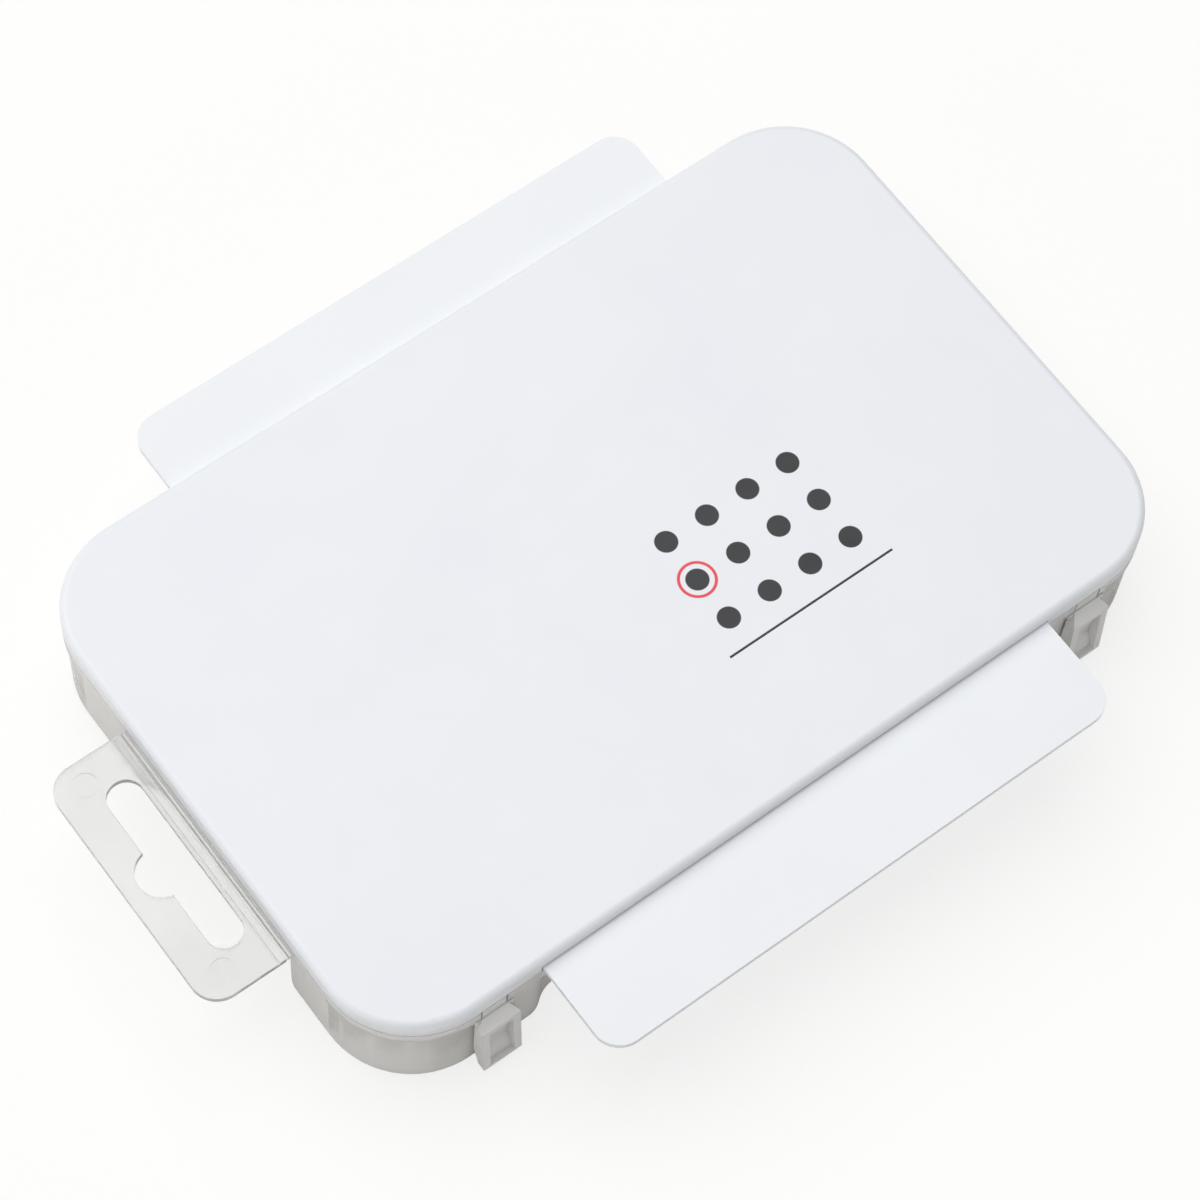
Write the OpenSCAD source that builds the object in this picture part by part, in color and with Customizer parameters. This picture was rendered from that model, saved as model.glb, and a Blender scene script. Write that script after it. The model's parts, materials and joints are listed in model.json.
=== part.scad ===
// Flat twelve-colour gouache box: a translucent tray of filled cups under an opaque hinged lid
// that carries two pull-out mixing palettes, with two front latches and a fold-down hang tab.
// Origin at the centre of the tray's underside, +X along the box, -Y towards the latches, +Z up.

/* [Box] */
// Length of the box over the lid
box_l = 154; // [140:1:180]
// Width of the box over the lid, without the palettes
box_w = 97.3; // [88:0.1:120]
// Plan radius of the lid's corners
corner_r = 15.8; // [12:0.1:20]
// Depth of the tray, from its underside to its rim
tray_h = 19.5; // [17:0.1:26]

/* [Tray] */
// Thickness of the tray's walls
tray_wall = 1.3; // [1:0.1:1.6]
// Thickness of the tray's floor
tray_floor = 1.2; // [0.8:0.1:2]
// Height of the flange round the tray's rim
flange_h = 2.8; // [2:0.1:3.4]
// Height and depth of the groove between the flange and the lid
seam = 0.25; // [0.2:0.05:0.4]
// How far the tray's walls stand in from the flange
wall_inset = 0.4; // [0.3:0.05:0.8]
// Radius of the tray's bottom edge
tray_edge_r = 1.4; // [0.8:0.1:2]
// Depth of the finger recesses in the walls
recess_d = 2.8; // [2:0.1:3.4]
// Length of the swept end of a recess
recess_sweep = 7.5; // [6:0.1:10]
// Distance of the recesses under the palettes from the lid's ends
recess_in = 26; // [24:0.5:29]
// Thickness of the shelf over a recess
shelf_t = 1.4; // [1:0.1:2]
// Thickness of the flange's edge in front of a recess
flange_edge = 0.9; // [0.8:0.05:1.2]
// Height of the ribs that keep the cups apart
rib_h = 3.2; // [2:0.1:5]
// Thickness of these ribs
rib_t = 1; // [0.8:0.1:1.4]

/* [Lid] */
// Height of the lid
lid_h = 3.6; // [3.4:0.1:5]
// Thickness of the lid's top
lid_top = 1.4; // [1.2:0.05:1.5]
// Thickness of the lid's rim
lid_wall = 1.35; // [1.2:0.05:1.6]
// Radius of the lid's top edge
lid_edge_r = 1.2; // [0.8:0.1:1.4]
// Thickness of the rails that carry the palettes
rail_t = 1.2; // [1:0.1:1.6]
// How far a rail's lip reaches in under a palette
rail_grip = 2.3; // [1.5:0.1:3]
// Distance of the rails' ends from the lid's long sides
rail_in = 6.65; // [6.65:0.05:14]
// Width of the stop between the palettes
stop_w = 1.2; // [1:0.1:2]
// Width of the guide ribs above the palettes
guide_w = 1; // [0.8:0.1:2]
// Distance of the guide ribs from the middle
guide_x = 30; // [15:1:40]

/* [Palettes] */
// Distance of a palette's sides from the lid's ends
palette_in = 28.3; // [27.5:0.1:32]
// Depth of a palette, front to back
palette_d = 49; // [44:0.5:49]
// Thickness of a palette
palette_t = 1.2; // [1:0.05:1.25]
// Corner radius of a palette
palette_r = 4.6; // [3:0.1:8]
// How far the front palette stands out of the lid
front_out = 17.3; // [1:0.1:30]
// How far the rear palette stands out of the lid
rear_out = 13.1; // [1:0.1:30]
// How far a palette stands out when it meets its stops
palette_out_max = 35; // [31:0.5:36]
// Width of the ears at a palette's inner end
ear_w = 1.6; // [1:0.1:2]
// Gap above and below a palette
palette_gap = 0.2; // [0.1:0.05:0.25]
// Gap beside a palette
palette_side_gap = 0.25; // [0.1:0.05:0.5]

/* [Latches] */
// Distance of the latches from the lid's ends
latch_in = 19.5; // [18.5:0.1:20.5]
// Width of a latch
latch_w = 7.1; // [6:0.1:8]
// Width of a latch's neck
latch_neck_w = 4.4; // [3.6:0.1:5]
// Thickness of a latch's neck
latch_neck_t = 0.9; // [0.8:0.05:1]
// Height of a latch's lower edge above the tray's underside
latch_foot = 0.7; // [0.5:0.1:3]
// How far a latch stands out at its top edge
latch_out_top = 1.85; // [1.5:0.05:2.5]
// How far a latch stands out at its foot
latch_out_foot = 2.8; // [2:0.05:3.4]
// Drop of a latch's sloping top
latch_slope = 1.7; // [1:0.1:2.5]
// Width of the side ribs round a latch's pocket
latch_rib = 1.3; // [1:0.1:1.6]
// Thickness of the web behind a latch's pocket
latch_web = 0.8; // [0.6:0.05:1]
// How far a latch's bead reaches under the flange
bead_grip = 0.35; // [0.2:0.05:0.38]
// Radius of a latch's pivot pin
latch_pin_r = 0.5; // [0.4:0.05:0.6]
// Radius of the knuckle round this pin
latch_knuckle_r = 0.9; // [0.8:0.05:0.95]
// Distance of this pin from the lid's face
latch_pin_in = 1.75; // [1.7:0.05:2]
// Height of this pin above the tray's rim
latch_pin_up = 1.1; // [1.05:0.05:1.15]
// Thickness of the lid's rim in front of a latch's knuckle
latch_skin = 0.7; // [0.6:0.05:0.7]
// Angle by which a latch swings open
latch_swing = 12; // [8:1:15]
// Depth of the notch in the tray's rim behind a latch's neck
latch_rim_notch = 1.5; // [1.4:0.1:1.8]
// Slope of the facets beside a latch's top
latch_splay = 50; // [40:1:60]
// Chamfer of a latch's lower corners
latch_corner = 0.7; // [0.4:0.1:1]
// Thickness of the lid's block behind a latch's pin
latch_block_t = 0.6; // [0.5:0.1:1]
// Thickness of the lip at a latch's foot
latch_lip = 1.5; // [1.2:0.1:1.6]
// Height of a latch's foot, where its back stands off the tray
latch_foot_h = 5; // [4:0.1:7]

/* [Hang tab] */
// Length of the tab along the box
tab_l = 44.6; // [40:0.1:50]
// How far the tab stands out of the box
tab_out = 15.2; // [15:0.1:22]
// Place of the tab's middle along the box's end
tab_y = -2.5; // [-6:0.1:6]
// Thickness of the tab
tab_t = 1.2; // [1:0.05:1.4]
// Corner radius of the tab
tab_r = 4.5; // [3:0.1:6]
// Drop of the tab's top face from the tray's rim
tab_drop = 0.5; // [0.3:0.05:0.8]
// Length of the hanging slot
slot_l = 32; // [28:0.5:34]
// Width of the hanging slot
slot_w = 6; // [5:0.1:6.5]
// Distance of the slot's centre line from the box
slot_out = 6.2; // [5:0.1:9]
// Radius of the round middle of the slot
slot_bump_r = 4.2; // [3.5:0.1:5]
// Distance of the round middle's centre from the box
slot_bump_out = 8.4; // [8:0.1:11]
// Distance of the tab's hinge from the flange
tab_hinge_out = 0.65; // [0.62:0.01:0.75]
// Thickness of the thin web at the tab's hinge
tab_web_t = 0.35; // [0.3:0.05:0.5]
// Width of the strip between this web and the groove beside it
tab_strip_w = 1.1; // [0.8:0.1:1.4]
// Width of this groove
tab_groove_w = 0.4; // [0.3:0.05:0.6]
// Depth of this groove
tab_groove_d = 0.4; // [0.2:0.05:0.6]
// Radius of the round marks that the mould's ejector pins leave
mark_r = 2; // [1.5:0.1:2.5]
// Depth of these marks
mark_d = 0.15; // [0.1:0.05:0.2]
// Distance of the marks from the tab's ends
mark_in = 4; // [3.5:0.1:5]
// Distance of the marks from the tab's outer edge
mark_out = 5.2; // [4:0.1:6]

/* [Rear hinge] */
// Distance of the hinges from the lid's ends
hinge_in = 21; // [20:0.5:24]
// Width of a hinge's knuckle on the lid
knuckle_w = 6; // [5:0.1:8]
// Thickness of the ears beside it on the tray
hinge_ear_t = 1.8; // [1.5:0.1:2.5]
// Radius of the knuckle and the ears
knuckle_r = 1.2; // [1.1:0.05:1.3]
// Radius of the hinge's pin
hinge_pin_r = 0.5; // [0.4:0.05:0.6]
// Distance of the hinge's axis behind the lid's face
hinge_out = 0.5; // [0.4:0.05:0.6]
// Depth of the hinge's axis below the tray's rim
hinge_drop = 2.6; // [2.5:0.1:3]
// Thickness of the arm between the lid and its knuckle
hinge_arm_t = 0.9; // [0.8:0.05:1]

/* [Paint cups] */
// Cups along the box
cup_cols = 4; // [3:1:5]
// Cups across the box
cup_rows = 3; // [2:1:3]
// Height of a cup
cup_h = 15.4; // [12:0.1:15.6]
// Thickness of a cup's walls
cup_wall = 0.8; // [0.6:0.05:1]
// Width of the rim round a cup
cup_rim_w = 1.3; // [1.1:0.1:2]
// Thickness of this rim
cup_rim_t = 0.8; // [0.6:0.1:1.2]
// Corner radius of a cup
cup_r = 5; // [4:0.1:6]
// Radius of a cup's bottom edge
cup_edge_r = 2; // [1:0.1:3]
// Gap between neighbouring cups
cup_gap = 0.5; // [0.3:0.1:1]
// Distance of the paint's surface below a cup's rim
paint_down = 1.2; // [0.5:0.1:4]
// Thickness of the film over a cup
seal_t = 0.2; // [0.15:0.05:0.3]
// Length of the lip for peeling a film off
seal_lip = 3; // [2:0.1:4]
// Gap between the lip and the cups beside it
seal_gap = 0.3; // [0.2:0.1:0.5]

/* [Fits] */
// Radial running clearance of the hinge pins
pin_gap = 0.06; // [0.03:0.01:0.1]
// Clearance round the parts that swing
swing_gap = 0.3; // [0.2:0.05:0.4]
// Clearance between the latch's bead and the flange
bead_gap = 0.2; // [0.1:0.05:0.3]

/* [Hidden] */
$fn = 64;
eps = 0.05;
// The cups' sizes go by tenths of a millimetre
function tenth(v) = floor(10 * v) / 10;
reach = 60;
arc_steps = 7;

// Heights
flange_z = tray_h - flange_h;
lid_z = tray_h;
top_z = lid_z + lid_h;
ceiling_z = top_z - lid_top;
palette_z = tray_h + palette_gap;
palette_top = palette_z + palette_t;

// Tray walls
tray_l = box_l - 2 * wall_inset;
tray_w = box_w - 2 * wall_inset;
tray_r = corner_r - wall_inset;
inner_r = tray_r - tray_wall;
wall_y = tray_w / 2;
wall_x = tray_l / 2;
tab_recess_l = tab_l - 0.4;
sweep_a = 2 * atan(recess_d / recess_sweep);
sweep_r = recess_sweep / (2 * sin(sweep_a));

// Cup grid: from the tab's recess to the round corners at the other end
rim_r = cup_r + cup_rim_w;
grid_y = wall_y - recess_d - tray_wall;
pitch_y = tenth((2 * grid_y - cup_gap) / cup_rows);
corner_y = pitch_y * cup_rows / 2 - rim_r - (wall_y - tray_wall - inner_r);
corner_x = sqrt(pow(inner_r - cup_gap - rim_r, 2) - pow(max(corner_y, 0), 2));
grid_x0 = -wall_x + recess_d + tray_wall;
grid_x1 = wall_x - tray_wall - inner_r + corner_x + rim_r;
pitch_x = tenth((grid_x1 - grid_x0 - cup_gap) / cup_cols);
cup_l = pitch_x - cup_gap;
cup_w = pitch_y - cup_gap;
cup_body_l = cup_l - 2 * cup_rim_w;
cup_body_w = cup_w - 2 * cup_rim_w;
cup_z = tray_floor;
seal_z = cup_z + cup_h;

// Rear hinge
hinge_x = box_l / 2 - hinge_in;
hinge_y = box_w / 2 + hinge_out;
hinge_z = tray_h - hinge_drop;
arm_y = box_w / 2 - hinge_arm_t;

// Latches
latch_x = box_l / 2 - latch_in;
latch_y = -box_w / 2 + latch_pin_in;
latch_z = tray_h + latch_pin_up;
neck_front = -box_w / 2 + eps;
neck_back = neck_front + latch_neck_t;
latch_top = flange_z - bead_gap;
latch_back = -wall_y - swing_gap;
// How far the neck runs down behind a latch's top, and how deep it sits in its back
neck_root = 2;
neck_in = 0.5;
// Height of the lip that snaps in under the flange, and how deep it sits in the latch
bead_h = 1.6;
bead_in = 0.3;
// Chamfer of the foot's front edge
toe = 0.3;
knuckle_gap = 0.15;
// The neck's inner corner, which comes round to the lower edge of the lid's rim at full swing
rim_edge = [latch_skin - latch_pin_in + knuckle_gap, -latch_pin_up - knuckle_gap];
shoulder = [rim_edge[0] * cos(latch_swing) - rim_edge[1] * sin(latch_swing),
            rim_edge[0] * sin(latch_swing) + rim_edge[1] * cos(latch_swing)];
shoulder_drop = (latch_y + shoulder[0] - neck_front) * tan(latch_swing);
// Back of the neck beside the pivot, measured from the pin, and the height of its bend
neck_behind = 0.2;
neck_bend = 0.9;
pocket_w = latch_w - 2 * latch_rib;

// Hang tab, and the run of its thin web from the hinge to the plate
tab_z = tray_h - tab_drop - tab_t / 2;
tab_axis_x = -box_l / 2 - tab_hinge_out;
tab_bead_r = tab_web_t;
web_run = 0.75;

// Palettes and their recesses
palette_w = box_l - 2 * palette_in;
palette_recess_l = box_l - 2 * recess_in;
rail_l = box_w - 2 * rail_in;
front_y = -box_w / 2 - front_out;
rear_y = box_w / 2 + rear_out;
ear_l = palette_d - palette_out_max - lid_wall - eps;

CUPS = ["01", "02", "03", "04", "05", "06", "07", "08", "09", "10", "11", "12"];
PAINTS = ["white", "ivory", "gold", "orange", "tomato", "crimson",
          "hotpink", "purple", "royalblue", "seagreen", "saddlebrown", "dimgray"];
cup_n = min(cup_cols * cup_rows, len(CUPS));

// ---------- shared shapes ----------

// Rectangle with round corners, centred
module round_rect(l, w, r) {
    square([l - 2 * r, w], center = true);
    square([l, w - 2 * r], center = true);
    for (x = [-1, 1], y = [-1, 1])
        translate([x * (l / 2 - r), y * (w / 2 - r)]) circle(r);
}

// Upright section whose two lower corners are rounded by e
module edge_section(w, h, e) {
    translate([-w / 2, e]) square([w, h - e]);
    translate([-w / 2 + e, 0]) square([w - 2 * e, e + eps]);
    for (x = [-1, 1]) translate([x * (w / 2 - e), e]) circle(e);
}

// The right half of such a section
module half_section(w, h, e) {
    translate([0, e]) square([w, h - e]);
    square([w - e, e + eps]);
    translate([w - e, e]) circle(e);
}

// Block with plan radius r and a bottom edge rounded by e, standing on z = 0
module soft_block(l, w, h, r, e) {
    rotate([90, 0, 90]) linear_extrude(l - 2 * r, center = true) edge_section(w, h, e);
    rotate([90, 0, 0]) linear_extrude(w - 2 * r, center = true) edge_section(l, h, e);
    for (x = [-1, 1], y = [-1, 1])
        translate([x * (l / 2 - r), y * (w / 2 - r), 0])
            rotate_extrude() half_section(r, h, e);
}

// Half outline of a recess of half-length m, grown into the wall by g: mouth arc, then floor arc
function sweep(m, g) = concat(
    [for (i = [0 : arc_steps]) let (a = sweep_a * i / arc_steps)
        [m - (sweep_r - g) * sin(a), sweep_r - (sweep_r - g) * cos(a)]],
    [for (i = [arc_steps : -1 : 0]) let (a = sweep_a * i / arc_steps)
        [m - 2 * sweep_r * sin(sweep_a) + (sweep_r + g) * sin(a),
         recess_d - sweep_r + (sweep_r + g) * cos(a)]]);

function mirrored(p) = [for (i = [len(p) - 1 : -1 : 0]) [-p[i][0], p[i][1]]];

// Plan of a recess, along +X, cut into +Y from the wall's face at y = 0
module recess_plan(l, g) {
    half = sweep(l / 2, g);
    polygon(concat([[l / 2, -reach / 12]], half, mirrored(half), [[-l / 2, -reach / 12]]));
}

// The three recesses in place: under both palettes and behind the hang tab
module recess_plans(g) {
    translate([0, -wall_y]) recess_plan(palette_recess_l, g);
    translate([0, wall_y]) rotate(180) recess_plan(palette_recess_l, g);
    translate([-wall_x, tab_y]) rotate(-90) recess_plan(tab_recess_l, g);
}

module at_latches() {
    for (side = [-1, 1]) translate([side * latch_x, 0, 0]) children();
}

module at_hinges() {
    for (side = [-1, 1]) translate([side * hinge_x, hinge_y, hinge_z]) children();
}

// Cylinder along X, centred
module rod(r, l) {
    rotate([0, 90, 0]) cylinder(r = r, h = l, center = true);
}

// ---------- tray ----------

// Its top is set back, which leaves a fine groove under the lid
module flange() {
    translate([0, 0, flange_z]) linear_extrude(flange_h - seam)
        round_rect(box_l, box_w, corner_r);
    translate([0, 0, lid_z - seam - eps]) linear_extrude(seam + eps)
        round_rect(box_l - 2 * seam, box_w - 2 * seam, corner_r - seam);
}

module tray_outside() {
    soft_block(tray_l, tray_w, tray_h, tray_r, tray_edge_r);
    flange();
    hinge_ears();
    tab_lip();
}

module hinge_ears() {
    ear_x = knuckle_w / 2 + swing_gap / 2 + hinge_ear_t / 2;
    at_hinges() for (side = [-1, 1]) translate([side * ear_x, 0, 0]) {
        rod(knuckle_r, hinge_ear_t);
        translate([-hinge_ear_t / 2, -hinge_out - wall_inset - eps, -knuckle_r])
            cube([hinge_ear_t, hinge_out + wall_inset + eps, 2 * knuckle_r]);
    }
}

// Thin lip that the hang tab's hinge grows from
module tab_lip() {
    lip = tab_hinge_out - tab_bead_r - eps;
    translate([-box_l / 2 - lip, tab_y - tab_l / 2, tab_z - tab_web_t / 2])
        cube([lip + eps, tab_l, tab_web_t]);
}

module tray_hollow() {
    difference() {
        translate([0, 0, tray_floor])
            soft_block(tray_l - 2 * tray_wall, tray_w - 2 * tray_wall, tray_h,
                       inner_r, max(tray_edge_r - tray_floor, 0.4));
        translate([0, 0, -eps]) linear_extrude(tray_h + reach) recess_plans(tray_wall);
    }
}

// The recesses stop under a shelf, and the flange's outer edge hangs a little below it
module tray_recesses() {
    translate([0, 0, -eps]) linear_extrude(flange_z + eps) recess_plans(0);
    translate([0, 0, flange_z - eps]) linear_extrude(flange_h - shelf_t + eps) intersection() {
        recess_plans(0);
        square([box_l - 2 * flange_edge, box_w - 2 * flange_edge], center = true);
    }
}

module hinge_pockets() {
    gap_w = knuckle_w + swing_gap;
    at_hinges() {
        rod(knuckle_r + swing_gap, gap_w);
        translate([-gap_w / 2, arm_y - hinge_y - swing_gap, 0])
            cube([gap_w, reach / 10, reach / 10]);
        rod(hinge_pin_r + pin_gap, knuckle_w + 2 * hinge_ear_t + 2 * swing_gap);
    }
}

module latch_gaps() {
    gap_w = latch_neck_w + 2 * swing_gap;
    gap_z = latch_top - neck_root - swing_gap;
    at_latches() {
        translate([-gap_w / 2, -box_w / 2 - eps, gap_z])
            cube([gap_w, latch_neck_t + eps + swing_gap, tray_h - gap_z + eps]);
        translate([-gap_w / 2, -box_w / 2 - eps, tray_h - latch_rim_notch])
            cube([gap_w, tray_wall + wall_inset + 2 * eps, latch_rim_notch + eps]);
    }
}

// Low ribs between the cups
module cup_ribs() {
    intersection() {
        translate([0, 0, tray_floor - eps]) {
            for (i = [1 : cup_cols - 1])
                translate([cup_x(i) - (pitch_x + rib_t) / 2, -box_w / 2, 0])
                    cube([rib_t, box_w, rib_h + eps]);
            for (j = [1 : cup_rows - 1])
                translate([-box_l / 2, cup_y(j * cup_cols) + (pitch_y - rib_t) / 2, 0])
                    cube([box_l, rib_t, rib_h + eps]);
        }
        linear_extrude(tray_h) difference() {
            round_rect(tray_l - tray_wall, tray_w - tray_wall, inner_r + tray_wall / 2);
            recess_plans(tray_wall / 2);
        }
    }
}

module tray() {
    color([0.86, 0.88, 0.89, 0.6]) {
        difference() {
            tray_outside();
            tray_hollow();
            tray_recesses();
            hinge_pockets();
            latch_gaps();
        }
        cup_ribs();
    }
}

// ---------- lid ----------

module lid_shell() {
    difference() {
        translate([0, 0, top_z]) mirror([0, 0, 1])
            soft_block(box_l, box_w, lid_h, corner_r, lid_edge_r);
        translate([0, 0, lid_z - eps]) linear_extrude(ceiling_z - lid_z + eps)
            round_rect(box_l - 2 * lid_wall, box_w - 2 * lid_wall, corner_r - lid_wall);
    }
}

// Blocks inside the rim that hold the latches' pivots
module latch_blocks() {
    block_w = latch_neck_w + 2 * swing_gap + 2 * latch_knuckle_r + 2 * lid_wall;
    depth = latch_pin_in + latch_pin_r + pin_gap + latch_block_t;
    at_latches() translate([-block_w / 2, -box_w / 2 + lid_wall - eps, lid_z + palette_gap])
        cube([block_w, depth - lid_wall + eps, ceiling_z - lid_z - palette_gap + eps]);
}

module latch_notches() {
    gap_w = latch_neck_w + 2 * swing_gap;
    at_latches() {
        translate([-gap_w / 2, -box_w / 2 + latch_skin, lid_z - eps])
            cube([gap_w, reach / 10, latch_pin_up + latch_knuckle_r + knuckle_gap + eps]);
        translate([0, latch_y, latch_z])
            rod(latch_pin_r + pin_gap, gap_w + 2 * latch_knuckle_r + swing_gap);
    }
}

module rails() {
    rail_x = palette_w / 2 + ear_w + palette_side_gap;
    lip_x = palette_w / 2 + ear_w - rail_grip;
    lip_top = palette_z - palette_gap - eps;
    for (side = [-1, 1]) scale([side, 1, 1]) {
        translate([rail_x, -rail_l / 2, lip_top - rail_t])
            cube([rail_t, rail_l, ceiling_z - lip_top + rail_t + eps]);
        translate([lip_x, -rail_l / 2, lip_top - rail_t])
            cube([rail_x - lip_x + eps, rail_l, rail_t]);
        translate([guide_x - guide_w / 2, -box_w / 2 + lid_wall - eps, palette_top + palette_gap])
            cube([guide_w, box_w - 2 * lid_wall + 2 * eps,
                  ceiling_z - palette_top - palette_gap + eps]);
    }
}

module palette_stop() {
    translate([-palette_w / 2, -stop_w / 2, palette_z])
        cube([palette_w, stop_w, ceiling_z - palette_z + eps]);
}

module palette_slots() {
    slot = palette_w + 2 * palette_side_gap;
    translate([-slot / 2, -box_w / 2 - eps, lid_z - eps])
        cube([slot, lid_wall + 2 * eps, palette_top + palette_gap - lid_z + eps]);
    translate([-slot / 2, box_w / 2 - lid_wall - eps, lid_z - eps])
        cube([slot, lid_wall + 2 * eps, palette_top + palette_gap - lid_z + eps]);
}

// Arms that hang from the rim at the rear, with the knuckles and their moulded pins
module hinge_arms() {
    at_hinges() {
        rod(knuckle_r, knuckle_w);
        rod(hinge_pin_r, knuckle_w + 2 * hinge_ear_t + swing_gap);
        translate([-knuckle_w / 2, arm_y - hinge_y, 0])
            cube([knuckle_w, hinge_arm_t, hinge_drop + eps]);
    }
}

module lid() {
    color([0.94, 0.95, 0.97]) {
        difference() {
            union() {
                lid_shell();
                latch_blocks();
            }
            palette_slots();
            latch_notches();
        }
        rails();
        palette_stop();
        hinge_arms();
    }
}

// ---------- palettes ----------

// Palette with its inner end at y = 0 and its outer edge at y = -palette_d
module palette() {
    color([0.95, 0.95, 0.96]) {
        linear_extrude(palette_t) {
            translate([0, -palette_d / 2]) round_rect(palette_w, palette_d, palette_r);
            translate([-palette_w / 2, -palette_r - eps]) square([palette_w, palette_r + eps]);
            translate([-palette_w / 2 - ear_w, -ear_l]) square([palette_w + 2 * ear_w, ear_l]);
        }
    }
}

module palette_front() {
    translate([0, front_y + palette_d, palette_z]) palette();
}

module palette_rear() {
    translate([0, rear_y - palette_d, palette_z]) rotate(180) palette();
}

// ---------- latches ----------

// Side view of a latch, in y and z: outer face, foot and back
module latch_profile() {
    face = -box_w / 2;
    foot = face - latch_out_foot;
    polygon([
        [face - eps, latch_top],
        [face - latch_out_top, latch_top - latch_slope],
        [foot, latch_foot + 2 * toe],
        [foot + toe, latch_foot],
        [foot + latch_lip, latch_foot],
        [foot + latch_lip + toe, latch_foot + latch_lip],
        [latch_back, latch_foot + latch_foot_h],
        [latch_back, latch_top]]);
}

// Neck from the body up to the pivot: flush with the flange, then in behind the lid's rim
module latch_neck_profile() {
    bend_z = latch_z + shoulder[1] - neck_behind;
    polygon([
        [latch_back - neck_in, latch_top - neck_root],
        [latch_back - neck_in, latch_top - bead_h],
        [neck_front, latch_top],
        [neck_front, latch_z + shoulder[1] - shoulder_drop],
        [latch_y + shoulder[0], latch_z + shoulder[1]],
        [latch_y - latch_knuckle_r + knuckle_gap, latch_z - latch_pin_r],
        [latch_y, latch_z],
        [latch_y + neck_behind, latch_z],
        [latch_y + neck_behind, bend_z],
        [neck_back, bend_z - neck_bend],
        [neck_back, latch_top - neck_root]]);
}

// Pocket in the front, which leaves a web of even thickness along the latch's back
module latch_pocket_profile() {
    face = -box_w / 2;
    foot = face - latch_out_foot;
    floor_z = latch_foot + latch_rib;
    polygon([
        [foot - 1, floor_z],
        [foot + latch_lip + toe - latch_web, floor_z],
        [latch_back - latch_web, latch_foot + latch_foot_h],
        [latch_back - latch_web, latch_top - latch_slope - latch_rib],
        [foot - 1, latch_top - latch_slope - latch_rib]]);
}

// Facets that widen the sloping top from the neck's width to the latch's
module latch_facets() {
    flare = (latch_w - latch_neck_w) / 2;
    run = norm([flare, latch_out_top]);
    cut = reach / 10;
    for (side = [-1, 1])
        translate([side * latch_neck_w / 2, -box_w / 2, latch_top])
            rotate([0, 0, side * atan(flare / latch_out_top)])
                rotate([atan(latch_slope / run), 0, 0])
                    rotate([0, side * latch_splay, 0])
                        translate([side < 0 ? -cut : 0, -cut, 0])
                            cube([cut, 2 * cut, cut]);
}

module latch() {
    color([0.82, 0.83, 0.84, 0.75]) {
        difference() {
            rotate([90, 0, 90]) linear_extrude(latch_w, center = true) latch_profile();
            rotate([90, 0, 90]) linear_extrude(pocket_w, center = true) latch_pocket_profile();
            latch_facets();
            for (side = [-1, 1])
                translate([side * latch_w / 2, -box_w / 2, latch_foot]) rotate([0, 45, 0])
                    cube([latch_corner * sqrt(2), reach, latch_corner * sqrt(2)], center = true);
        }
        rotate([90, 0, 90]) linear_extrude(latch_neck_w, center = true) latch_neck_profile();
        translate([0, latch_y, latch_z]) {
            rod(latch_knuckle_r, latch_neck_w);
            rod(latch_pin_r, latch_neck_w + 2 * latch_knuckle_r + swing_gap);
        }
        translate([-latch_w / 2 + eps, latch_back - bead_in, latch_top - bead_h])
            cube([latch_w - 2 * eps, bead_grip - box_w / 2 - latch_back + bead_in, bead_h]);
    }
}

module latch_left() {
    translate([-latch_x, 0, 0]) latch();
}

module latch_right() {
    translate([latch_x, 0, 0]) latch();
}

// ---------- hang tab ----------

module tab_plan() {
    edge_x = -box_l / 2 - tab_out;
    plate_x = tab_axis_x - web_run;
    depth = plate_x - edge_x;
    difference() {
        union() {
            translate([edge_x + depth / 2, tab_y]) round_rect(depth, tab_l, tab_r);
            translate([plate_x - tab_r - eps, tab_y - tab_l / 2]) square([tab_r + eps, tab_l]);
        }
        // euro slot: a long round-ended slot with a round middle
        translate([-box_l / 2 - slot_out, tab_y]) round_rect(slot_w, slot_l, slot_w / 2 - eps);
        translate([-box_l / 2 - slot_bump_out, tab_y]) circle(slot_bump_r);
    }
}

module hang_tab() {
    plate_x = tab_axis_x - web_run;
    color([0.88, 0.9, 0.91, 0.6]) {
        difference() {
            translate([0, 0, tab_z - tab_t / 2]) linear_extrude(tab_t) tab_plan();
            translate([plate_x - tab_strip_w - tab_groove_w, tab_y - tab_l / 2 - eps,
                       tab_z + tab_t / 2 - tab_groove_d])
                cube([tab_groove_w, tab_l + 2 * eps, tab_groove_d + eps]);
            for (side = [-1, 1])
                translate([-box_l / 2 - tab_out + mark_out, tab_y + side * (tab_l / 2 - mark_in),
                           tab_z + tab_t / 2 - mark_d])
                    cylinder(r = mark_r, h = mark_d + eps);
        }
        translate([plate_x - eps, tab_y - tab_l / 2, tab_z - tab_web_t / 2])
            cube([web_run + eps, tab_l, tab_web_t]);
        translate([tab_axis_x, tab_y, tab_z]) rotate([90, 0, 0])
            cylinder(r = tab_bead_r, h = tab_l, center = true);
    }
}

// ---------- cups, paint and films ----------

function cup_x(i) = (grid_x0 + grid_x1) / 2 + pitch_x * (i % cup_cols + 0.5 - cup_cols / 2);
function cup_y(i) = -pitch_y * (floor(i / cup_cols) + 0.5 - cup_rows / 2);

module at_cup(i, z) {
    translate([cup_x(i), cup_y(i), z]) children();
}

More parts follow.
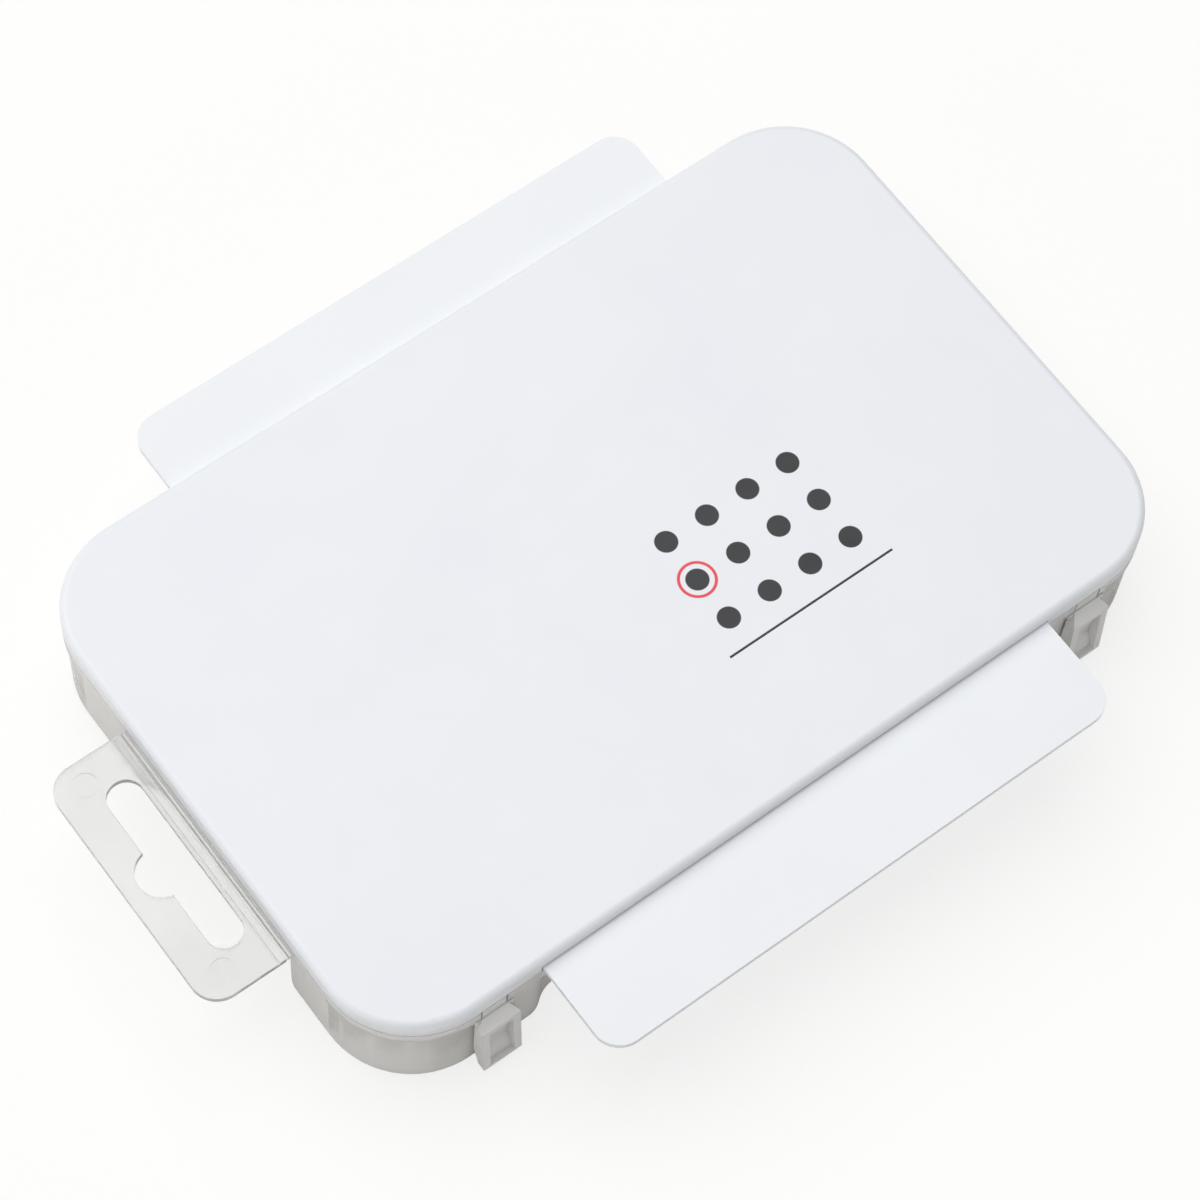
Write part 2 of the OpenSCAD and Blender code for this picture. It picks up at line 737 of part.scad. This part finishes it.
module cup(i) {
    if (i < cup_n) at_cup(i, cup_z) color([0.93, 0.94, 0.95]) difference() {
        union() {
            soft_block(cup_body_l, cup_body_w, cup_h, cup_r, cup_edge_r);
            translate([0, 0, cup_h - cup_rim_t]) linear_extrude(cup_rim_t)
                round_rect(cup_l, cup_w, rim_r);
        }
        translate([0, 0, cup_wall])
            soft_block(cup_body_l - 2 * cup_wall, cup_body_w - 2 * cup_wall, cup_h,
                       cup_r - cup_wall, cup_edge_r - cup_wall / 2);
    }
}

module paint(i) {
    if (i < cup_n) at_cup(i, cup_z + cup_wall) color(PAINTS[i])
        soft_block(cup_body_l - 2 * cup_wall, cup_body_w - 2 * cup_wall,
                   cup_h - cup_wall - paint_down, cup_r - cup_wall, cup_edge_r - cup_wall / 2);
}

// The film has one square corner, towards the middle of the box, to peel it by
module seal(i) {
    lip_l = seal_lip + cup_r;
    lip_x = cup_l / 2 - seal_gap - lip_l / 2;
    if (i < cup_n) at_cup(i, seal_z) color([0.9, 0.93, 0.95, 0.5])
        linear_extrude(seal_t) {
            round_rect(cup_l - seal_gap, cup_w - seal_gap, rim_r);
            translate([(cup_x(i) < 0 ? 1 : -1) * lip_x, seal_gap - cup_w / 2 + lip_l / 2])
                square(lip_l, center = true);
        }
}

tray();
lid();
palette_front();
palette_rear();
latch_left();
latch_right();
hang_tab();
for (i = [0 : len(CUPS) - 1]) {
    cup(i);
    paint(i);
    seal(i);
}
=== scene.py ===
"""Looks of the gouache box: a translucent tray under a white lid, with two pull-out palettes.

Every length is in metres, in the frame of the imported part, with the box's length along X
and the latches towards -Y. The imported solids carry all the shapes, so this script gives them
soft edges and materials, prints a small pattern on the lid, and sets floor, lights and camera.
"""

import json
import math

import bpy
from mathutils import Matrix, Vector

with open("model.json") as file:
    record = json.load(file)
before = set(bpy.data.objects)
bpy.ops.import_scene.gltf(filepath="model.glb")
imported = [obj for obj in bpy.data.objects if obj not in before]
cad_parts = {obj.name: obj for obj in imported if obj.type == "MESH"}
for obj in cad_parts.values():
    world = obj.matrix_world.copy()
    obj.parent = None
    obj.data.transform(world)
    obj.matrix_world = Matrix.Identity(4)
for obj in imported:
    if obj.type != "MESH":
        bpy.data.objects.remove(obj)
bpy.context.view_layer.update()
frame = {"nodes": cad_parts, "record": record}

MM = 0.001
WHITE = (1.0, 1.0, 1.0, 1.0)

# ---------- camera ----------
CAMERA_PLACE = (-0.18531, -0.20133, 0.57181)
CAMERA_AIM = (-0.00548, -0.00503, 0.02025)
CAMERA_ROLL = math.radians(-6.295)
# Both in millimetres, as Blender takes them
CAMERA_LENS = 118.49
SENSOR = 36.0

# ---------- light and floor ----------
FLOOR_SIZE = 6.0
FLOOR_DROP = 0.2 * MM
FLOOR_TINTS = ((0.85, 0.84, 0.81, 1.0), (0.87, 0.86, 0.835, 1.0))
FLOOR_CLOUDS = 3.0
FLOOR_ROUGH = 0.9
FLOOR_SHINE = 0.1
# The floor's own light, and its share of what the camera sees
FLOOR_GLOW = 1.06
FLOOR_GLOW_SHARE = 0.72
# The world as it lights the box, and as the camera sees it
WORLD_LEVEL = 0.28
WORLD_SEEN = 1.0
SOFT_BOXES = {
    # name: (place, size, watts)
    "key": ((-0.1, 0.9, 1.9), 2.6, 43.0),
    "side": ((-1.9, -0.2, 0.4), 1.2, 8.0),
    "front": ((0.5, -2.0, 0.35), 1.2, 6.0),
}
LIGHT_AIM = (0.0, 0.0, 0.01)

# ---------- soft edges ----------
WELD = 0.005 * MM
EDGE_ANGLE = math.radians(32)
EDGE_STEPS = 2
EDGES = {
    "tray": 0.15 * MM,
    "lid": 0.12 * MM,
    "palette_front": 0.25 * MM,
    "palette_rear": 0.25 * MM,
}

# ---------- materials ----------
PLASTIC_IOR = 1.49
FILM_IOR = 1.45
PAINT_IOR = 1.45
NOISE_DETAIL = 3.0
NOISE_ROUGHNESS = 0.5
# Part of the noise's values that spans a range of colour or roughness
NOISE_SPAN = (0.3, 0.7)
# Patches of gloss for each cloud of colour
GLOSS_PATCHES = 3
# Textures: clouds of colour in a metre, grains in a metre, height of the grains
OPAQUE = (40, 900, 0.002 * MM)
CLEAR = (60, 700, 0.004 * MM)
FILM = (150, 500, 0.02 * MM)
PASTE = (90, 260, 0.15 * MM)
CLEAR_ROUGH = (0.13, 0.21)
LOOKS = {
    # slot: (two colours as they show, range of roughness, texture, values of the shader)
    "lid_white": (((0.925, 0.935, 0.955), (0.935, 0.945, 0.96)), (0.32, 0.4), OPAQUE,
                  {"IOR": PLASTIC_IOR}),
    "palette_white": (((0.93, 0.94, 0.955), (0.94, 0.95, 0.965)), (0.16, 0.24), OPAQUE,
                      {"IOR": PLASTIC_IOR}),
    "cup_white": (((0.92, 0.93, 0.94), (0.94, 0.945, 0.95)), (0.3, 0.38), OPAQUE,
                  {"IOR": PLASTIC_IOR}),
    "tray_clear": (((0.975, 0.97, 0.96), (0.99, 0.985, 0.98)), CLEAR_ROUGH, CLEAR,
                   {"IOR": PLASTIC_IOR, "Transmission Weight": 0.36}),
    "latch_clear": (((0.97, 0.965, 0.96), (0.985, 0.985, 0.98)), CLEAR_ROUGH, CLEAR,
                    {"IOR": PLASTIC_IOR, "Transmission Weight": 0.26}),
    "tab_clear": (((0.92, 0.92, 0.915), (0.945, 0.945, 0.94)), CLEAR_ROUGH, CLEAR,
                  {"IOR": PLASTIC_IOR, "Transmission Weight": 0.8}),
    "seal_film": (((0.93, 0.95, 0.97), (0.97, 0.98, 0.99)), (0.08, 0.2), FILM,
                  {"IOR": FILM_IOR, "Alpha": 0.1}),
}
PAINT_SLOTS = "paint_"
PAINT_SHADE = 0.86
PAINT_ROUGH = (0.3, 0.45)

# ---------- print on the lid ----------
INK_DARK = (0.008, 0.009, 0.012, 1.0)
INK_RED = (0.83, 0.045, 0.075, 1.0)
# The print keeps to the lid's flat top, which lies above this height
INK_ABOVE = 23.0 * MM
# Half the width over which a dot's edge fades
INK_SOFT = 0.06 * MM
DOT_CENTRE = (20.0 * MM, -12.0 * MM)
DOT_PITCH = 8.0 * MM
DOT_R = 1.9 * MM
DOT_COLUMNS = 4
DOT_ROWS = 3
# Column and row of the ringed dot
RING_DOT = (0, 1)
RING_R = 3.2 * MM
RING_W = 0.5 * MM
RULE_L = 32.0 * MM
RULE_W = 0.4 * MM
RULE_GAP = 5.5 * MM
# Sockets of a mix node that is set to colours, which share their names with its other sockets
MIX_SHARE, MIX_UNDER, MIX_OVER, MIX_RESULT = 0, 6, 7, 2


# ---------- nodes ----------


def srgb(r, g, b):
    """Linear colour for a colour that is named as it shows, from 0 to 1."""
    linear = (c / 12.92 if c <= 0.04045 else ((c + 0.055) / 1.055) ** 2.4 for c in (r, g, b))
    return (*linear, 1.0)


def start_material(name):
    """New node material: returns it, its tree, its main shader and object coordinates."""
    material = bpy.data.materials.new(name)
    material.use_nodes = True
    tree = material.node_tree
    tree.nodes.clear()
    shader = tree.nodes.new("ShaderNodeBsdfPrincipled")
    output = tree.nodes.new("ShaderNodeOutputMaterial")
    place = tree.nodes.new("ShaderNodeTexCoord")
    tree.links.new(shader.outputs["BSDF"], output.inputs["Surface"])
    return material, tree, shader, place.outputs["Object"]


def node_of(tree, kind):
    """The tree's only node of that kind."""
    return next(node for node in tree.nodes if node.type == kind)


def noise(tree, place, scale):
    """Noise of so many cells a metre."""
    node = tree.nodes.new("ShaderNodeTexNoise")
    node.inputs["Scale"].default_value = scale
    node.inputs["Detail"].default_value = NOISE_DETAIL
    node.inputs["Roughness"].default_value = NOISE_ROUGHNESS
    tree.links.new(place, node.inputs["Vector"])
    return node.outputs["Fac"]


def stretch(tree, value, source, target):
    """The value, with the source range stretched over the target range."""
    node = tree.nodes.new("ShaderNodeMapRange")
    for socket, number in zip(("From Min", "From Max", "To Min", "To Max"), (*source, *target)):
        node.inputs[socket].default_value = number
    tree.links.new(value, node.inputs["Value"])
    return node.outputs["Result"]


def tint(tree, value, colours):
    """Colour that goes from the first to the second as the noise rises."""
    node = tree.nodes.new("ShaderNodeValToRGB")
    for stop, position, colour in zip(node.color_ramp.elements, NOISE_SPAN, colours):
        stop.position = position
        stop.color = colour
    tree.links.new(value, node.inputs["Fac"])
    return node.outputs["Color"]


def bump(tree, shader, value, depth):
    """Fine relief of that depth in metres."""
    node = tree.nodes.new("ShaderNodeBump")
    node.inputs["Strength"].default_value = 1.0
    node.inputs["Distance"].default_value = depth
    tree.links.new(value, node.inputs["Height"])
    tree.links.new(node.outputs["Normal"], shader.inputs["Normal"])


def maths(tree, operation, *values):
    """Result of a maths node, whose inputs are numbers or other nodes' results."""
    node = tree.nodes.new("ShaderNodeMath")
    node.operation = operation
    for socket, value in zip(node.inputs, values):
        if isinstance(value, (int, float)):
            socket.default_value = value
        else:
            tree.links.new(value, socket)
    return node.outputs["Value"]


def blend(tree, share, first, second):
    """Shader that goes from the first to the second with the share."""
    mix = tree.nodes.new("ShaderNodeMixShader")
    tree.links.new(share, mix.inputs["Fac"])
    tree.links.new(first, mix.inputs[1])
    tree.links.new(second, mix.inputs[2])
    return mix.outputs["Shader"]


# ---------- the materials ----------


def make_material(name, colours, rough, texture, values):
    """Material with cloudy colour, patchy gloss and fine relief, which every piece here has."""
    clouds, grains, depth = texture
    material, tree, shader, place = start_material(name)
    for socket, value in values.items():
        shader.inputs[socket].default_value = value
    tree.links.new(tint(tree, noise(tree, place, clouds), colours), shader.inputs["Base Color"])
    patches = noise(tree, place, clouds * GLOSS_PATCHES)
    tree.links.new(stretch(tree, patches, NOISE_SPAN, rough), shader.inputs["Roughness"])
    bump(tree, shader, noise(tree, place, grains), depth)
    return material


def make_materials(record):
    """One material for each of the record's slots."""
    made = {}
    for slot, (colours, rough, texture, values) in LOOKS.items():
        linear = [srgb(*colour) for colour in colours]
        made[slot] = make_material(slot, linear, rough, texture, values)
    for row in record["materials"]:
        slot, colour = row["slot"], row["base_color"][:3]
        if slot.startswith(PAINT_SLOTS):
            shades = [(*(shade * c for c in colour), 1.0) for shade in (PAINT_SHADE, 1.0)]
            made[slot] = make_material(slot, shades, PAINT_ROUGH, PASTE, {"IOR": PAINT_IOR})
    print_lid(made["lid_white"])
    return made


def dress_nodes(record, materials):
    """Puts each slot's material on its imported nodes."""
    for part in record["subparts"]:
        piece = frame["nodes"][part["node"]]
        piece.data.materials.clear()
        piece.data.materials.append(materials[part["material_slot"]])


# ---------- the print ----------


def disc(tree, place, x, y, radius):
    """1 within the radius of a point of the plan, 0 beyond."""
    flat = tree.nodes.new("ShaderNodeVectorMath")
    flat.operation = "MULTIPLY"
    flat.inputs[1].default_value = (1, 1, 0)
    tree.links.new(place, flat.inputs[0])
    far = tree.nodes.new("ShaderNodeVectorMath")
    far.operation = "DISTANCE"
    far.inputs[1].default_value = (x, y, 0)
    tree.links.new(flat.outputs["Vector"], far.inputs[0])
    edge = (radius - INK_SOFT, radius + INK_SOFT)
    return stretch(tree, far.outputs["Value"], edge, (1.0, 0.0))


def ink(tree, shader, share, colour):
    """Lays ink over the shader's colour where the share is 1."""
    under = shader.inputs["Base Color"].links[0].from_socket
    mix = tree.nodes.new("ShaderNodeMix")
    mix.data_type = "RGBA"
    mix.inputs[MIX_OVER].default_value = colour
    tree.links.new(share, mix.inputs[MIX_SHARE])
    tree.links.new(under, mix.inputs[MIX_UNDER])
    tree.links.new(mix.outputs[MIX_RESULT], shader.inputs["Base Color"])


def print_lid(material):
    """Twelve dots for the twelve wells, one of them ringed, over a thin rule."""
    tree = material.node_tree
    shader = node_of(tree, "BSDF_PRINCIPLED")
    place = node_of(tree, "TEX_COORD").outputs["Object"]
    split = tree.nodes.new("ShaderNodeSeparateXYZ")
    tree.links.new(place, split.inputs["Vector"])
    on_top = maths(tree, "GREATER_THAN", split.outputs["Z"], INK_ABOVE)
    first_x = DOT_CENTRE[0] - (DOT_COLUMNS - 1) * DOT_PITCH / 2
    first_y = DOT_CENTRE[1] - (DOT_ROWS - 1) * DOT_PITCH / 2
    across = maths(tree, "COMPARE", split.outputs["X"], DOT_CENTRE[0], RULE_L / 2)
    along = maths(tree, "COMPARE", split.outputs["Y"], first_y - RULE_GAP, RULE_W / 2)
    dark = maths(tree, "MULTIPLY", across, along)
    for column in range(DOT_COLUMNS):
        for row in range(DOT_ROWS):
            x, y = first_x + column * DOT_PITCH, first_y + row * DOT_PITCH
            dark = maths(tree, "MAXIMUM", dark, disc(tree, place, x, y, DOT_R))
    ring_x, ring_y = first_x + RING_DOT[0] * DOT_PITCH, first_y + RING_DOT[1] * DOT_PITCH
    ring = maths(tree, "SUBTRACT", disc(tree, place, ring_x, ring_y, RING_R),
                 disc(tree, place, ring_x, ring_y, RING_R - RING_W))
    ink(tree, shader, maths(tree, "MULTIPLY", dark, on_top), INK_DARK)
    ink(tree, shader, maths(tree, "MULTIPLY", ring, on_top), INK_RED)


# ---------- soft edges ----------


def soften(piece, width):
    """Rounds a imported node's sharp edges with modifiers, so its own mesh stays as it is."""
    weld = piece.modifiers.new("weld", "WELD")
    weld.merge_threshold = WELD
    edges = piece.modifiers.new("edges", "BEVEL")
    edges.limit_method = "ANGLE"
    edges.angle_limit = EDGE_ANGLE
    edges.width = width
    edges.segments = EDGE_STEPS
    edges.use_clamp_overlap = True
    edges.harden_normals = True


# ---------- stage ----------


def make_floor():
    """Plain pale floor under the box, brighter to the camera and through clear plastic."""
    bpy.ops.mesh.primitive_plane_add(size=FLOOR_SIZE, location=(0, 0, -FLOOR_DROP))
    floor = bpy.context.object
    floor.name = "floor"
    material, tree, shader, place = start_material("floor_white")
    shader.inputs["Roughness"].default_value = FLOOR_ROUGH
    shader.inputs["Specular IOR Level"].default_value = FLOOR_SHINE
    colour = tint(tree, noise(tree, place, FLOOR_CLOUDS), FLOOR_TINTS)
    tree.links.new(colour, shader.inputs["Base Color"])
    glow = tree.nodes.new("ShaderNodeEmission")
    glow.inputs["Color"].default_value = WHITE
    glow.inputs["Strength"].default_value = FLOOR_GLOW
    path = tree.nodes.new("ShaderNodeLightPath").outputs
    seen = maths(tree, "MAXIMUM", path["Is Camera Ray"], path["Is Transmission Ray"])
    share = maths(tree, "MULTIPLY", seen, FLOOR_GLOW_SHARE)
    surface = blend(tree, share, shader.outputs["BSDF"], glow.outputs["Emission"])
    tree.links.new(surface, node_of(tree, "OUTPUT_MATERIAL").inputs["Surface"])
    floor.data.materials.append(material)


def make_world():
    """Even soft light all round, seen as plain white."""
    world = bpy.data.worlds.new("studio")
    bpy.context.scene.world = world
    world.use_nodes = True
    tree = world.node_tree
    tree.nodes.clear()
    levels = []
    for strength in (WORLD_LEVEL, WORLD_SEEN):
        background = tree.nodes.new("ShaderNodeBackground")
        background.inputs["Color"].default_value = WHITE
        background.inputs["Strength"].default_value = strength
        levels.append(background.outputs["Background"])
    path = tree.nodes.new("ShaderNodeLightPath")
    output = tree.nodes.new("ShaderNodeOutputWorld")
    surface = blend(tree, path.outputs["Is Camera Ray"], *levels)
    tree.links.new(surface, output.inputs["Surface"])


def make_lights():
    """Large soft boxes."""
    for name, (place, size, watts) in SOFT_BOXES.items():
        light = bpy.data.lights.new(name, "AREA")
        light.size = size
        light.energy = watts
        lamp = bpy.data.objects.new(name, light)
        bpy.context.scene.collection.objects.link(lamp)
        lamp.location = place
        aim = Vector(LIGHT_AIM) - Vector(place)
        lamp.rotation_euler = aim.to_track_quat("-Z", "Y").to_euler()


def make_camera():
    """Camera at the photograph's place, aim, roll and lens."""
    place, aim = Vector(CAMERA_PLACE), Vector(CAMERA_AIM)
    forward = (aim - place).normalized()
    right = forward.cross(Vector((0, 0, 1))).normalized()
    down = forward.cross(right)
    turn_c, turn_s = math.cos(CAMERA_ROLL), math.sin(CAMERA_ROLL)
    x_axis = turn_c * right + turn_s * down
    y_axis = turn_s * right - turn_c * down
    turned = Matrix((x_axis, y_axis, -forward)).transposed().to_4x4()
    turned.translation = place
    data = bpy.data.cameras.new("camera")
    data.lens = CAMERA_LENS
    data.sensor_width = SENSOR
    camera = bpy.data.objects.new("camera", data)
    bpy.context.scene.collection.objects.link(camera)
    camera.matrix_world = turned
    bpy.context.scene.camera = camera


# ---------- the scene ----------

dress_nodes(frame["record"], make_materials(frame["record"]))
for node, width in EDGES.items():
    soften(frame["nodes"][node], width)
make_floor()
make_world()
make_lights()
make_camera()
bpy.context.scene.view_settings.view_transform = "Standard"
